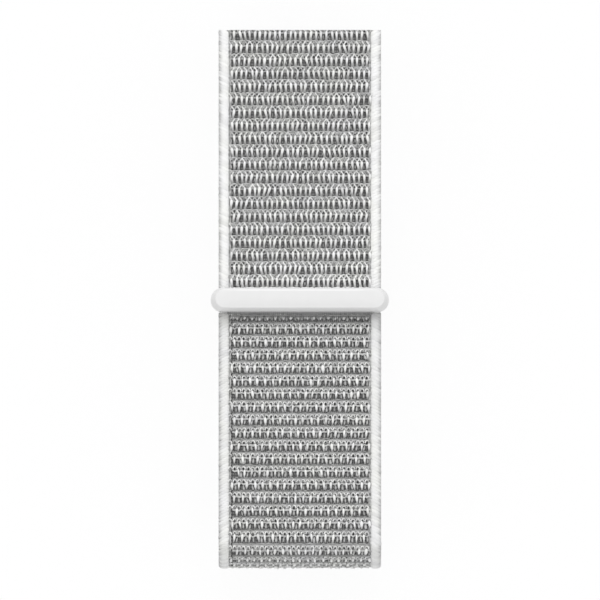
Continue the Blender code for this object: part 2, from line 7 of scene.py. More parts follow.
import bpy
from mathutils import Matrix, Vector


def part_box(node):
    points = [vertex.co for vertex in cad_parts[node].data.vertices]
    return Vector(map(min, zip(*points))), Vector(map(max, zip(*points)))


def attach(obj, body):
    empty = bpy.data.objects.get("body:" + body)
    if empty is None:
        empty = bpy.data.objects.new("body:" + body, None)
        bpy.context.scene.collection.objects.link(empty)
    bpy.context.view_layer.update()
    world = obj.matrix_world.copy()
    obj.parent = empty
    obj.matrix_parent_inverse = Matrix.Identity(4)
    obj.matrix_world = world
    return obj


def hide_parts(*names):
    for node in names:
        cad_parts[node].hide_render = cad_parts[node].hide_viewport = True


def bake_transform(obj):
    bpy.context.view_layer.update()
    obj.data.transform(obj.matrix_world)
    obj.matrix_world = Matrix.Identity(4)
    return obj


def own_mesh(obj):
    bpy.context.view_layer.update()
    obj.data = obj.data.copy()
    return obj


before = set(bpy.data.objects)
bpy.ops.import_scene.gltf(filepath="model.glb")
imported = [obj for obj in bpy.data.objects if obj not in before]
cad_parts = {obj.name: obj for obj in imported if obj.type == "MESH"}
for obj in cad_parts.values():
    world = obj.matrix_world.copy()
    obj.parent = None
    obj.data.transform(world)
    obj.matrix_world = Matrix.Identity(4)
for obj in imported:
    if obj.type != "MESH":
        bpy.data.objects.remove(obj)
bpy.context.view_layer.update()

import math

import bmesh
import bpy
import numpy as np
from mathutils import Matrix, Vector

MM = 0.001
X_AXIS, Y_AXIS, Z_AXIS = (1, 0, 0), (0, 1, 0), (0, 0, 1)
random = np.random.default_rng(20)  # the order of its draws sets every yarn

# Strap section and the two fabrics' repeats
PANEL_HALF = 9.6
LOOP_MARGIN = 0.2
ARCH_MARGIN = 0.12
GROUND_HALF_THICKNESS = 0.32
GROUND_OVERLAP = 0.15
RIB_HEIGHT = 0.03
ROW = 1.744
SKIN_COLUMN = 0.6855
SKIN_OFFSETS = (0.123, -0.254)
OUTER_COLUMN = 1.0222
OUTER_OFFSETS = (-0.235, 0.077, 0.440)
ARCH_COLUMN = 0.6117
SKIN_ARCH_OFFSETS = (0.058,)
OUTER_ARCH_OFFSETS = (0.422,)
SKIN_ROW_Y = 33.24
OUTER_ROW_Y = -27.205
MAIN_ROW_S = 0.4
ROWS_BEFORE = 0.2
ROWS_AFTER = 0.45
NO_PAINTED_SHADING = (0.0, 0.0, 1.0)

# How a yarn's section is squeezed, across the reference and along it
ROUND = (1.0, 1.0)
TALL = (0.65, 1.0)

# The white edges: wraps of yarn over a cord
WRAP_PITCH = 0.436
WRAP_STEPS = 20
WRAP_HALF_WIDTH = 0.645
WRAP_HALF_HEIGHT = 0.63
WRAP_SLANT = 0.34
WRAP_RADIUS = 0.32
WRAP_THINNING = 0.12
CORD_RADIUS = 0.60
CORD_TONE = 0.40
CORD_OUT = 0.72

# The lines of the straps, and the places where the rods and the ring hold them
RING_AXIS = (0.2, 11.75)
FOLD_RADIUS = 1.45
HEM_AXIS = (0.0, 15.2)
PIN_AXIS = (20.45, 1.6)
TAIL_Z = 13.2
MAIN_Z = 10.7
SHORT_Z = 14.25
ARM_Z = 0.75
ARM_END_Y = 22.05
TAB_END_Y = 36.2
SHORT_START_Y = -1.95
RAMP_START = (3.0, 10.3)
RAMP_RUN = 9.0
RAMP_RISE = 0.4
BEND_Y = 32.2
BEND_REACH = 3.25
PATH_STEP = 0.05
PATH_SPARE = 4.0

# Where the tab starts to bend from the long strap, and where the pieces of loops part
TAIL_PART_Y = 17.6
SHORT_PART_Y = -26.0
HOOKS_START_Y = 15.6
HOOKS_END_Y = 33.5

# The latch springs
LATCH_Y = 16.55
SPRING_RADIUS = 0.5
SPRING_FOOT = 0.55
SPRING_HEIGHT = 1.25
SPRING_TURNS = 3
WIRE_RADIUS = 0.1


# ---- paths


def arc(centre, radii, start, stop, steps=120):
    """Points on an ellipse in the Y-Z plane, between two angles in degrees."""
    turn = np.radians(np.linspace(start, stop, steps + 1))
    return np.stack([centre[0] + radii[0] * np.cos(turn), centre[1] + radii[1] * np.sin(turn)], 1)


class Path:
    """The middle of a strap's thickness, as a line in the Y-Z plane. Its normal lies to the left."""

    def __init__(self, *parts):
        points = np.concatenate([np.atleast_2d(np.array(part, float)) for part in parts])
        points = points[np.r_[True, np.linalg.norm(np.diff(points, axis=0), axis=1) > 1e-6]]
        first = points[0] - points[1]
        last = points[-1] - points[-2]
        begin = points[0] + first / np.linalg.norm(first) * PATH_SPARE
        end = points[-1] + last / np.linalg.norm(last) * PATH_SPARE
        points = np.concatenate([[begin], points, [end]])
        lengths = np.r_[0, np.cumsum(np.linalg.norm(np.diff(points, axis=0), axis=1))] - PATH_SPARE
        self.length = lengths[-1] - PATH_SPARE
        self.s = np.arange(-PATH_SPARE, self.length + PATH_SPARE, PATH_STEP)
        self.y = np.interp(self.s, lengths, points[:, 0])
        self.z = np.interp(self.s, lengths, points[:, 1])
        along_y = np.gradient(self.y, self.s)
        along_z = np.gradient(self.z, self.s)
        size = np.hypot(along_y, along_z)
        self.normal_y = -along_z / size
        self.normal_z = along_y / size

    def place(self, points):
        """Strap coordinates to the frame's, in metres."""
        s = points[..., 1]
        off = points[..., 2]
        y = np.interp(s, self.s, self.y) + off * np.interp(s, self.s, self.normal_y)
        z = np.interp(s, self.s, self.z) + off * np.interp(s, self.s, self.normal_z)
        return np.stack([points[..., 0], y, z], -1) * MM


def bend(side, top_z, stop):
    """The turn from an upper run at that height down to its arm."""
    return arc((side * BEND_Y, (top_z + ARM_Z) / 2), (BEND_REACH, (top_z - ARM_Z) / 2), 90, stop)


def fold(stop):
    """The strap's way round the fold bar, from its far side."""
    return arc(RING_AXIS, (FOLD_RADIUS, FOLD_RADIUS), 180, stop)


RAMP = [
    (RAMP_START[0] + RAMP_RUN * t, RAMP_START[1] + RAMP_RISE * (1 - math.cos(math.pi * t)) / 2)
    for t in np.linspace(0, 1, 40)
]
TAIL = Path(fold(90), (TAB_END_Y, TAIL_Z))
MAIN = Path(fold(270), RAMP, bend(1, MAIN_Z, -90), (ARM_END_Y, ARM_Z))
SHORT = Path((SHORT_START_Y, SHORT_Z), bend(-1, SHORT_Z, 270), (-ARM_END_Y, ARM_Z))
TAIL_STRAIGHT_S = math.pi / 2 * FOLD_RADIUS


def tail_s(y):
    """Where the tail's line is at that y."""
    return TAIL_STRAIGHT_S + y - RING_AXIS[0]


def short_s(y):
    """Where the short strap's line is at that y."""
    return SHORT_START_Y - y


# ---- meshes


def new_object(name, mesh):
    obj = bpy.data.objects.new(name, mesh)
    bpy.context.scene.collection.objects.link(obj)
    return obj


def mesh_from_arrays(name, vertices, corners, totals, uvs=None, tones=None):
    """A mesh from plain arrays: corners lists every face's vertices in turn, totals how many each has."""
    mesh = bpy.data.meshes.new(name)
    mesh.vertices.add(len(vertices))
    mesh.vertices.foreach_set("co", np.ascontiguousarray(vertices, np.float32).ravel())
    mesh.loops.add(len(corners))
    mesh.loops.foreach_set("vertex_index", np.ascontiguousarray(corners, np.int32))
    mesh.polygons.add(len(totals))
    starts = np.r_[0, np.cumsum(totals)[:-1]].astype(np.int32)
    mesh.polygons.foreach_set("loop_start", starts)
    mesh.polygons.foreach_set("use_smooth", np.ones(len(totals), bool))
    mesh.update(calc_edges=True)
    if uvs is not None:
        layer = mesh.uv_layers.new(name="yarn")
        layer.data.foreach_set("uv", np.ascontiguousarray(uvs, np.float32).ravel())
    if tones is not None:
        attribute = mesh.attributes.new("tone", "FLOAT", "POINT")
        attribute.data.foreach_set("value", np.ascontiguousarray(tones, np.float32))
    return mesh


def eased(excess, most=0.08):
    """How far a yarn's end stands out where the cloth is cut, which is never more than most."""
    excess = np.maximum(excess, 0)
    return excess / (1 + excess / most)


def unit(vectors):
    """Vectors made 1 long."""
    return vectors / np.maximum(np.linalg.norm(vectors, axis=-1, keepdims=True), 1e-9)


class Yarns:
    """Many tubes gathered into one mesh, in strap coordinates.

    Their side is 1 on the path's left and -1 on its right. Their direction is the way of the rows along it.
    """

    def __init__(self, side=1, direction=1):
        self.side = side
        self.direction = direction
        self.vertices = []
        self.tones = []
        self.corners = []
        self.totals = []
        self.uvs = []
        self.count = 0

    def add(self, centres, radii, tones, sides, reference, squeeze=ROUND, closed=False):
        """Tubes along (N, K, 3) centres with (N, K) radii and tones. Open ones get a face at each end.

        The reference is a direction that no tube runs along. The squeeze is across it and along it.
        """
        centres = np.asarray(centres, float)
        number, rings = centres.shape[:2]
        radii = np.broadcast_to(radii, (number, rings))
        tones = np.broadcast_to(tones, (number, rings))
        if closed:
            along = np.roll(centres, -1, 1) - np.roll(centres, 1, 1)
        else:
            along = np.gradient(centres, axis=1)
        along = unit(along)
        across = unit(np.cross(along, np.array(reference, float)))
        upward = np.cross(across, along)
        turn = 2 * np.pi * (np.arange(sides) + 0.5) / sides
        round_off = squeeze[0] * across[:, :, None] * np.cos(turn)[:, None]
        round_off = round_off + squeeze[1] * upward[:, :, None] * np.sin(turn)[:, None]
        points = centres[:, :, None] + radii[..., None, None] * round_off
        self.vertices.append(points.reshape(-1, 3))
        self.tones.append(np.repeat(tones[..., None], sides, 2).ravel())

        ring = np.arange(rings if closed else rings - 1)
        side = np.arange(sides)
        here, around = np.meshgrid(ring, side, indexing="ij")
        after = (here + 1) % rings
        beside = (around + 1) % sides
        low, high = here * sides, after * sides
        quads = np.stack([low + around, high + around, high + beside, low + beside], -1).reshape(-1, 4)
        base = self.count + np.arange(number) * rings * sides
        self.corners.append((base[:, None, None] + quads).ravel())
        self.totals.append(np.full(number * len(quads), 4))

        # Texture coordinates: once round each yarn, and along it in millimetres from a random place
        lengths = np.linalg.norm(np.diff(centres.mean(0), axis=0), axis=1)
        reach = np.r_[0, np.cumsum(np.maximum(lengths, 0.05))]
        reach = np.r_[reach, reach[-1] + 0.1]
        low, high = around / sides, (around + 1) / sides
        begin, end = reach[here], reach[here + 1]
        corners = ((low, begin), (low, end), (high, end), (high, begin))
        uv = np.stack([np.stack(corner, -1) for corner in corners], -2)
        shift = random.random((number, 1, 1))
        uv = np.broadcast_to(uv.reshape(1, -1, 2), (number, uv.size // 2, 2)) + shift
        self.uvs.append(uv.reshape(-1, 2))
        if not closed:
            caps = np.stack([side, (rings - 1) * sides + side[::-1]])
            self.corners.append((base[:, None, None] + caps).ravel())
            self.totals.append(np.full(number * 2, sides))
            self.uvs.append(np.zeros((number * 2 * sides, 2)))
        self.count += number * rings * sides

    def lay(self, template, spots, lean, swell, sides, reference=X_AXIS, squeeze=ROUND, mirror=1, slope=0):
        """One yarn shape at each spot. A template row is (x, u, n, radius, tone), with u in rows.

        A slope makes the shape brighter on one side and darker on the other.
        """
        x, u, n, radius, tone = np.array(template, float).T
        number = len(spots)
        if number == 0:
            return
        lean = np.broadcast_to(lean, number)[:, None]
        centres = np.empty((number, len(x), 3))
        centres[..., 0] = spots[:, :1] + mirror * x + lean * (u - 0.4)
        centres[..., 1] = spots[:, 1:2] + self.direction * ROW * u
        centres[..., 2] = self.side * (n + spots[:, 2:3])
        radii = radius[None] * np.broadcast_to(swell, number)[:, None]
        tones = tone[None] * spots[:, 3:4] * (1 + slope * random.uniform(-1, 1, (number, 1)) * x / 0.2)
        self.add(centres, radii, tones, sides, reference, squeeze)

    def build(self, name, path, limits=None, painted_shading=NO_PAINTED_SHADING):
        """The object, cut off at the limits; the low one may be a function of x.

        A painted shading is a place on the path, an amount and a reach: tones change by the amount there,
        and by less and less away from it, as painted light or shade. Without a path the points are plain x,
        y and z.
        """
        points = np.concatenate(self.vertices)
        if limits is not None:
            low, high = limits
            if callable(low):
                low = low(points[:, 0])
            s = points[:, 1]
            points[:, 1] = np.clip(s, low, high) + eased(s - high) - eased(low - s)
        place, amount, reach = painted_shading
        tones = np.concatenate(self.tones) * (1 + amount * np.exp(-np.abs(points[:, 1] - place) / reach))
        mesh = mesh_from_arrays(
            name,
            path.place(points) if path else points * MM,
            np.concatenate(self.corners),
            np.concatenate(self.totals),
            np.concatenate(self.uvs),
            np.clip(tones, 0, 1),
        )
        return new_object(name, mesh)


def swept(name, path, points):
    """A closed strip, from its outlines in strap coordinates as an (outlines, points, 3) array."""
    count, sides = points.shape[:2]
    here, around = np.meshgrid(np.arange(count - 1), np.arange(sides), indexing="ij")
    beside = (around + 1) % sides
    low, high = here * sides, (here + 1) * sides
    quads = np.stack([low + around, low + beside, high + beside, high + around], -1)
    caps = [np.arange(sides)[::-1], (count - 1) * sides + np.arange(sides)]
    corners = np.concatenate([quads.ravel(), *caps])
    totals = np.concatenate([np.full(quads.size // 4, 4), [sides, sides]])
    return new_object(name, mesh_from_arrays(name, path.place(points.reshape(-1, 3)), corners, totals))


# A skin-side loop: its bright crest, which sinks to a foot, and the two legs that rise to it
# Tones fall towards the foot: partly darker yarn there, partly painted shade on the side turned from the
# light
SKIN_CREST = [
    (0.0, 0.33, 0.50, 0.060, 0.90),
    (0.0, 0.39, 0.57, 0.130, 1.00),
    (0.0, 0.47, 0.62, 0.180, 1.00),
    (0.0, 0.56, 0.64, 0.186, 1.00),
    (0.0, 0.65, 0.63, 0.168, 0.98),
    (0.0, 0.74, 0.59, 0.148, 0.88),
    (0.0, 0.82, 0.53, 0.150, 0.66),
    (0.0, 0.91, 0.47, 0.152, 0.45),
    (0.0, 0.99, 0.43, 0.188, 0.42),
    (0.0, 1.07, 0.40, 0.200, 0.47),
]
SKIN_LEG = [
    (0.02, 0.43, 0.56, 0.080, 0.95),
    (0.09, 0.34, 0.59, 0.102, 0.92),
    (0.19, 0.27, 0.58, 0.108, 0.88),
    (0.29, 0.20, 0.53, 0.110, 0.94),
    (0.36, 0.11, 0.45, 0.096, 0.80),
]
SKIN_BEAD = [
    (0.0, 0.69, 0.37, 0.050, 0.45),
    (0.0, 0.76, 0.42, 0.080, 0.66),
    (0.0, 0.84, 0.43, 0.088, 0.66),
    (0.0, 0.92, 0.39, 0.070, 0.50),
]
SKIN_CROSS = [
    (-0.34, 0.48, 0.43, 0.070, 0.55),
    (0.00, 0.51, 0.47, 0.090, 0.66),
    (0.34, 0.48, 0.43, 0.070, 0.55),
]

# An outer-side pair: a white bar, and the darker loop with a small bead beside it
# Tones fall towards the foot: partly darker yarn there, partly painted shade on the side turned from the
# light
OUTER_BAR = [
    (0.0, 0.40, 0.50, 0.080, 0.85),
    (0.0, 0.47, 0.57, 0.135, 0.98),
    (0.0, 0.55, 0.63, 0.165, 1.00),
    (0.0, 0.64, 0.65, 0.170, 1.00),
    (0.0, 0.73, 0.63, 0.160, 1.00),
    (0.0, 0.81, 0.58, 0.145, 0.94),
    (0.0, 0.87, 0.51, 0.120, 0.72),
    (0.0, 0.94, 0.45, 0.108, 0.62),
    (0.0, 1.02, 0.40, 0.098, 0.50),
]
# First row under the clasp bar: just the bars' lower ends, with painted light that keeps them bright in the
# painted shadow
OUTER_FIRST_BAR = [
    (0.0, 0.70, 0.55, 0.070, 0.70),
    (0.0, 0.75, 0.64, 0.120, 1.05),
    (0.0, 0.81, 0.68, 0.150, 1.15),
    (0.0, 0.87, 0.65, 0.130, 1.00),
    (0.0, 0.93, 0.52, 0.080, 0.50),
]
OUTER_BEAD = [
    (0.0, 0.64, 0.44, 0.095, 0.60),
    (0.0, 0.73, 0.46, 0.115, 0.50),
    (0.0, 0.81, 0.50, 0.145, 0.60),
    (0.0, 0.89, 0.47, 0.140, 0.62),
    (0.0, 0.98, 0.42, 0.125, 0.56),
]
FILL = [
    (0.0, 0.33, 0.40, 0.090, 0.50),
    (0.0, 0.39, 0.43, 0.110, 0.56),
    (0.0, 0.46, 0.42, 0.100, 0.52),
]

# Threads across the panel in each row: u, n, radius, tone and wave
SKIN_WEFTS = [
    (0.13, 0.38, 0.12, 0.68, 0.05),
    (0.48, 0.39, 0.13, 0.60, 0.05),
]
OUTER_WEFTS = [
    (0.13, 0.37, 0.12, 0.42, 0.03),
    (0.23, 0.40, 0.10, 0.62, 0.02),
    (0.55, 0.43, 0.15, 0.67, 0.07),
]


def ring_template(x_half, u_half, u_middle, n, radius, tone, start, stop, steps):
    """Part of an oval round a point of the row, angles in degrees from the +x side."""
    turns = np.radians(np.linspace(start, stop, steps))
    return [(x_half * math.cos(t), u_middle - u_half * math.sin(t), n, radius, tone) for t in turns]


def arch_template(n, radius, tone):
    """One arch of the chain of them across each row, its feet sunk in the ground."""
    arch = ring_template(0.225, 0.155, 0.385, n, radius, tone, start=-30, stop=210, steps=8)
    for foot in (0, -1):
        arch[foot] = (*arch[foot][:2], n - 0.10, radius * 0.7, tone * 0.7)
    return arch


SKIN_ARCH = arch_template(0.48, 0.098, 0.62)
OUTER_ARCH = arch_template(0.54, 0.102, 0.84)
OVAL = (0.19, 0.20, 0.80, 0.44, 0.050, 0.26)
OUTER_OVAL_LEFT = ring_template(*OVAL, start=70, stop=290, steps=7)
OUTER_OVAL_RIGHT = ring_template(*OVAL, start=110, stop=-110, steps=7)


def grid(pitch, rows, offsets, margin=ARCH_MARGIN):
    """Spots at each row and column of a panel: x, s, lift and tone. The rows take the offsets in turn."""
    spots = []
    for start, index in rows:
        offset = offsets[index % len(offsets)]
        first = math.ceil((margin - PANEL_HALF - offset) / pitch)
        last = math.floor((PANEL_HALF - margin - offset) / pitch)
        for column in range(first, last + 1):
            spots.append((offset + column * pitch, start, 0.0, 1.0))
    return np.array(spots, float).reshape(-1, 4)


def row_starts(first, start, stop, direction):
    """Each row's beginning between two places along a path, with the row's number."""
    rows = []
    low = math.floor((min(start, stop) - first) / ROW) - 1
    high = math.ceil((max(start, stop) - first) / ROW) + 1
    for index in range(low, high + 1):
        begin = first + index * ROW
        end = begin + direction * ROW
        middle = (begin + end) / 2
        if min(start, stop) - ROWS_BEFORE * ROW < middle < max(start, stop) + ROWS_AFTER * ROW:
            rows.append((begin, index))
    return rows


def varied(spots, shift=0.035, lift=0.03, tone=0.10):
    """Each spot a little aside, higher or lower, and darker."""
    spots = spots.copy()
    number = len(spots)
    spots[:, 0] += random.normal(0, shift, number)
    spots[:, 1] += random.normal(0, shift, number)
    spots[:, 2] += random.normal(0, lift, number)
    spots[:, 3] *= 1 - np.abs(random.normal(0, tone, number))
    return spots


def leaning(spots, amount):
    """Sideways leans that drift slowly from loop to loop, with a little of their own."""
    x, s = spots[:, 0], spots[:, 1]
    drift = np.sin(x * 1.1 + s * 0.9) + np.sin(x * 0.43 - s * 0.37 + 1.0)
    return amount * (0.6 * drift + random.normal(0, 0.7, len(spots)))


def wefts(yarns, rows, offset, threads):
    """Threads across the whole panel in every row, each given as (u, n, radius, tone, wave).

    A wave swings the thread to and fro along the strap, once in each column of arches.
    """
    reach = int(PANEL_HALF / (ARCH_COLUMN / 2))
    count = np.arange(-reach, reach + 1)
    across = np.clip(offset + count * ARCH_COLUMN / 2, -PANEL_HALF, PANEL_HALF)
    starts = np.array([[start] for start, index in rows])
    shape = (len(rows), len(across))
    for u, n, radius, tone, wave in threads:
        lines = np.empty((*shape, 3))
        lines[..., 0] = across
        swing = wave * (-1.0) ** count * random.uniform(0.4, 1.4, shape) + random.normal(0, 0.03, shape)
        lines[..., 1] = starts + yarns.direction * ROW * u + yarns.direction * swing
        lines[..., 2] = yarns.side * (n + random.normal(0, 0.02, shape))
        radii = radius * random.uniform(0.95, 1.45, shape)
        yarns.add(lines, radii, tone * random.uniform(0.7, 1.0, shape), 4, Z_AXIS)


def borders(yarns, start, stop):
    """Grey warp threads along each edge of the panel, under the loops' ends."""
    line = np.linspace(start, stop, max(int(abs(stop - start) / 0.25), 2))
    for edge in (-1, 1):
        for inside, n, radius, tone in ((0.08, 0.42, 0.12, 0.52), (0.27, 0.38, 0.12, 0.54)):
            x = edge * (PANEL_HALF - inside + random.normal(0, 0.02, len(line)))
            cord = np.stack([x, line, yarns.side * (n + random.normal(0, 0.02, len(line)))], -1)
            yarns.add(cord[None], radius, tone * random.uniform(0.4, 1.3, len(line)), 5, X_AXIS)


def fills(yarns, arches, share):
    """Grey stubs that close some of the arches."""
    chosen = varied(arches[random.random(len(arches)) < share], 0.03, 0.02, 0.2)
    yarns.lay(FILL, chosen, 0.0, 1.2, 4)


def skin_loops(name, path, first, start, stop, side, direction, detail, painted_shading=NO_PAINTED_SHADING):
    """The dense loops of the face that lies on the skin, on one side of a path."""
    rows = row_starts(first, start, stop, direction)
    spots = varied(grid(SKIN_COLUMN, rows, SKIN_OFFSETS, LOOP_MARGIN))
    lean = leaning(spots, 0.19)
    swell = 1 + random.normal(0, 0.10, len(spots))
    crest = SKIN_CREST if detail else SKIN_CREST[::2] + [SKIN_CREST[-1]]
    leg = SKIN_LEG if detail else SKIN_LEG[::2]
    yarns = Yarns(side, direction)
    yarns.lay(crest, spots, lean, swell, 6 if detail else 5, squeeze=TALL)
    turned = np.tanh(leaning(spots, 1.6))
    for mirror in (1, -1):
        bright = spots.copy()
        bright[:, 3] *= 0.74 + 0.26 * mirror * turned
        thick = swell * (1.03 + 0.26 * mirror * turned)
        yarns.lay(leg, bright, leaning(spots, 0.10), thick, 4, Z_AXIS, mirror=mirror)
    if detail:
        between = varied(spots + np.array([SKIN_COLUMN / 2, 0, 0, 0]), 0.04, 0.02, 0.2)
        between = between[(between[:, 0] < PANEL_HALF - LOOP_MARGIN) & (random.random(len(between)) < 0.7)]
        yarns.lay(SKIN_CROSS, between, leaning(between, 0.3), 1.0, 4, Z_AXIS)
        arches = varied(grid(ARCH_COLUMN, rows, SKIN_ARCH_OFFSETS), 0.02, 0.02, 0.15)
        yarns.lay(SKIN_ARCH, arches, leaning(arches, 0.1), 1.0, 4, Z_AXIS, slope=0.25)
        fills(yarns, arches, 0.5)
        beads = varied(arches[random.random(len(arches)) < 0.75], 0.03, 0.02, 0.2)
        yarns.lay(SKIN_BEAD, beads, 0.0, 1.0, 4)
    wefts(yarns, rows, SKIN_ARCH_OFFSETS[0], SKIN_WEFTS)
    low, high = sorted((start, stop))
    borders(yarns, low, high)
    return finished(yarns.build(name, path, (low, high), painted_shading), SKIN_YARN)


def outer_loops(name, path, first, start, stop, side, direction, detail, painted_shading=NO_PAINTED_SHADING):
    """The coarser loops of the outer face, which the hooks grip."""
    rows = row_starts(first, start, stop, direction)
    places = grid(OUTER_COLUMN, rows, OUTER_OFFSETS, LOOP_MARGIN)
    bars = varied(places, 0.045)
    rings = varied(places + np.array([OUTER_COLUMN / 2, 0, 0, 0]), 0.035, 0.02, 0.15)
    rings = rings[rings[:, 0] < PANEL_HALF - 0.15]
    yarns = Yarns(side, direction)
    covered = places[:, 1] < 0
    for template, spots in ((OUTER_FIRST_BAR, bars[covered]), (OUTER_BAR, bars[~covered])):
        swell = 1 + random.normal(0, 0.14, len(spots))
        lean = leaning(spots, 0.16)
        yarns.lay(template, spots, lean, swell, 6 if detail else 5, squeeze=TALL)
    arches = varied(grid(ARCH_COLUMN, rows, OUTER_ARCH_OFFSETS), 0.02, 0.02, 0.12)
    arch = OUTER_ARCH if detail else OUTER_ARCH[::2]
    yarns.lay(arch, arches, leaning(arches, 0.12), 1.15, 4, Z_AXIS, slope=0.35)
    still = leaning(rings, 0.10)
    if detail:
        swell = 1 + random.normal(0, 0.15, len(rings))
        yarns.lay(OUTER_BEAD, rings, leaning(rings, 0.3), swell, 5, squeeze=(0.8, 1.0))
        fills(yarns, arches, 0.62)
    for template in (OUTER_OVAL_LEFT, OUTER_OVAL_RIGHT):
        shape = template if detail else template[::2]
        yarns.lay(shape, rings, still, 1.0, 4, Z_AXIS)
    wefts(yarns, rows, OUTER_ARCH_OFFSETS[0], OUTER_WEFTS)
    low, high = sorted((start, stop))
    borders(yarns, low, high)
    return finished(yarns.build(name, path, (low, high), painted_shading), OUTER_YARN)


def beside_bar(x):
    """Where the short strap's edges start: they follow the clasp bar's round ends."""
    past = np.clip(np.abs(x) - (BAR_HALF_LENGTH - BAR_HALF_WIDTH), 0, BAR_HALF_WIDTH)
    return np.sqrt(BAR_HALF_WIDTH**2 - past**2) - BAR_HALF_WIDTH - 0.07


def selvedges(name, path, start, stop, pale=1.0, painted_shading=NO_PAINTED_SHADING, low=None):
    """Both edges: close wraps of white yarn over a cord of the same, duller at their outer turns.

    They are cut off at start, or else at low.
    """
    yarns = Yarns()
    turn = 2 * np.pi * np.arange(WRAP_STEPS) / WRAP_STEPS
    square = (np.abs(np.cos(turn)) ** 4 + np.abs(np.sin(turn)) ** 4) ** (-1 / 4)
    off = square * np.cos(turn)
    outward = np.clip((off - 0.2) / 0.6, 0, 1)
    places = np.arange(start + 0.12, stop - 0.1, WRAP_PITCH)
    number = len(places)
    for edge in (-1, 1):
        reach = WRAP_HALF_WIDTH + 0.012 * (-1.0) ** np.arange(number) + random.normal(0, 0.006, number)
        middle = PANEL_HALF - 0.05 + reach
        height = WRAP_HALF_HEIGHT + random.normal(0, 0.006, number)
        centres = np.empty((number, WRAP_STEPS, 3))
        centres[..., 0] = edge * (middle[:, None] + reach[:, None] * off)
        slant = WRAP_SLANT + random.normal(0, 0.03, number)
        centres[..., 1] = places[:, None] + slant[:, None] * off + random.normal(0, 0.015, (number, 1))
        centres[..., 2] = height[:, None] * (square * np.sin(turn))
        dull = random.uniform(0.06, 0.62, (number, 1)) * outward
        tones = pale * (1 - dull) * (1.045 - np.abs(random.normal(0, 0.10, (number, 1))))
        radii = WRAP_RADIUS - WRAP_THINNING * outward
        yarns.add(centres, radii, tones, 7, Y_AXIS, (0.32, 1.0), closed=True)
        cord = np.linspace(start, stop, max(int((stop - start) / 0.5), 2))
        line = np.stack([np.full(len(cord), edge * (PANEL_HALF + CORD_OUT)), cord, np.zeros(len(cord))], -1)
        yarns.add(line[None], CORD_RADIUS, CORD_TONE, 12, Z_AXIS)
    limits = (start if low is None else low, stop)
    return finished(yarns.build(name, path, limits, painted_shading), EDGE_YARN)


def ground(name, path, start, stop):
    """The woven base between the selvedges: a sheet with fine ribs across it."""
    along = np.linspace(start, stop, int((stop - start) / (WRAP_PITCH / 4)) + 1)
    rib = GROUND_HALF_THICKNESS + RIB_HEIGHT * np.cos(2 * np.pi * (along - start) / WRAP_PITCH)
    across = np.linspace(-PANEL_HALF - GROUND_OVERLAP, PANEL_HALF + GROUND_OVERLAP, 5)
    outline = [(x, 1) for x in across] + [(x, -1) for x in across[::-1]]
    points = np.empty((len(along), len(outline), 3))
    for index, (x, up) in enumerate(outline):
        points[:, index, 0] = x
        points[:, index, 1] = along
        points[:, index, 2] = up * rib
    return finished(swept(name, path, points), GROUND_WEAVE)


# ---- materials


def feed(tree, node, inputs):
    """Sets a node's inputs: links those given as another node's output, and gives the rest their values."""
    for key, value in inputs.items():
        if isinstance(value, bpy.types.NodeSocket):
            tree.links.new(value, node.inputs[key])
        else:
            node.inputs[key].default_value = value


def add_node(tree, kind, inputs=None, **settings):
    """A shader node with its settings and inputs."""
    node = tree.nodes.new("ShaderNode" + kind)
    for key, value in settings.items():
        setattr(node, key, value)
    feed(tree, node, inputs or {})
    return node


class Finish:
    """A node material in the making. Its coordinates are in millimetres."""

    def __init__(self, name):
        self.material = bpy.data.materials.new(name)
        self.material.use_nodes = True
        self.tree = self.material.node_tree
        self.shader = self.tree.nodes["Principled BSDF"]

    def node(self, kind, inputs=None, **settings):
        return add_node(self.tree, kind, inputs, **settings)

    def math(self, operation, first, second=0.0):
        return self.node("Math", {0: first, 1: second}, operation=operation).outputs[0]

    def place(self, scale=(1000, 1000, 1000)):
        source = self.node("TexCoord").outputs["Object"]
        return self.node("Mapping", {"Vector": source, "Scale": scale}).outputs[0]

    def noise(self, vector, scale, detail=2.0, roughness=0.5):
        inputs = {"Vector": vector, "Scale": scale, "Detail": detail, "Roughness": roughness}
        return self.node("TexNoise", inputs).outputs["Fac"]

    def ramp(self, factor, low, high, start=0.0, stop=1.0):
        """A blend between two colours as factor goes from start to stop."""
        node = self.node("ValToRGB", {"Fac": factor})
        first, second = node.color_ramp.elements
        first.position, second.position = start, stop
        first.color = (*low, 1)
        second.color = (*high, 1)
        return node.outputs["Color"]

    def times(self, first, second):
        """The product of two colours. Inputs 6 and 7 are the mix node's colours."""
        inputs = {"Factor": 1.0, 6: first, 7: second}
        return self.node("Mix", inputs, data_type="RGBA", blend_type="MULTIPLY").outputs[2]

    def bump(self, height, strength, distance_mm, base=None):
        inputs = {"Height": height, "Strength": strength, "Distance": distance_mm * MM}
        if base is not None:
            inputs["Normal"] = base
        return self.node("Bump", inputs).outputs["Normal"]

    def hard_surface(self, gloss, low, high, fine, grain, edge):
        """A roughness that goes from low to high with gloss, soft edges and a fine grain."""
        rough = self.node("MapRange", {"Value": gloss, "To Min": low, "To Max": high}).outputs[0]
        rounded = self.node("Bevel", {"Radius": edge * MM}, samples=4).outputs["Normal"]
        return {"Roughness": rough, "Normal": self.bump(fine, grain, 0.01, rounded)}

    def made(self, inputs):
        """The material, once its shader has these inputs."""
        feed(self.tree, self.shader, inputs)
        return self.material


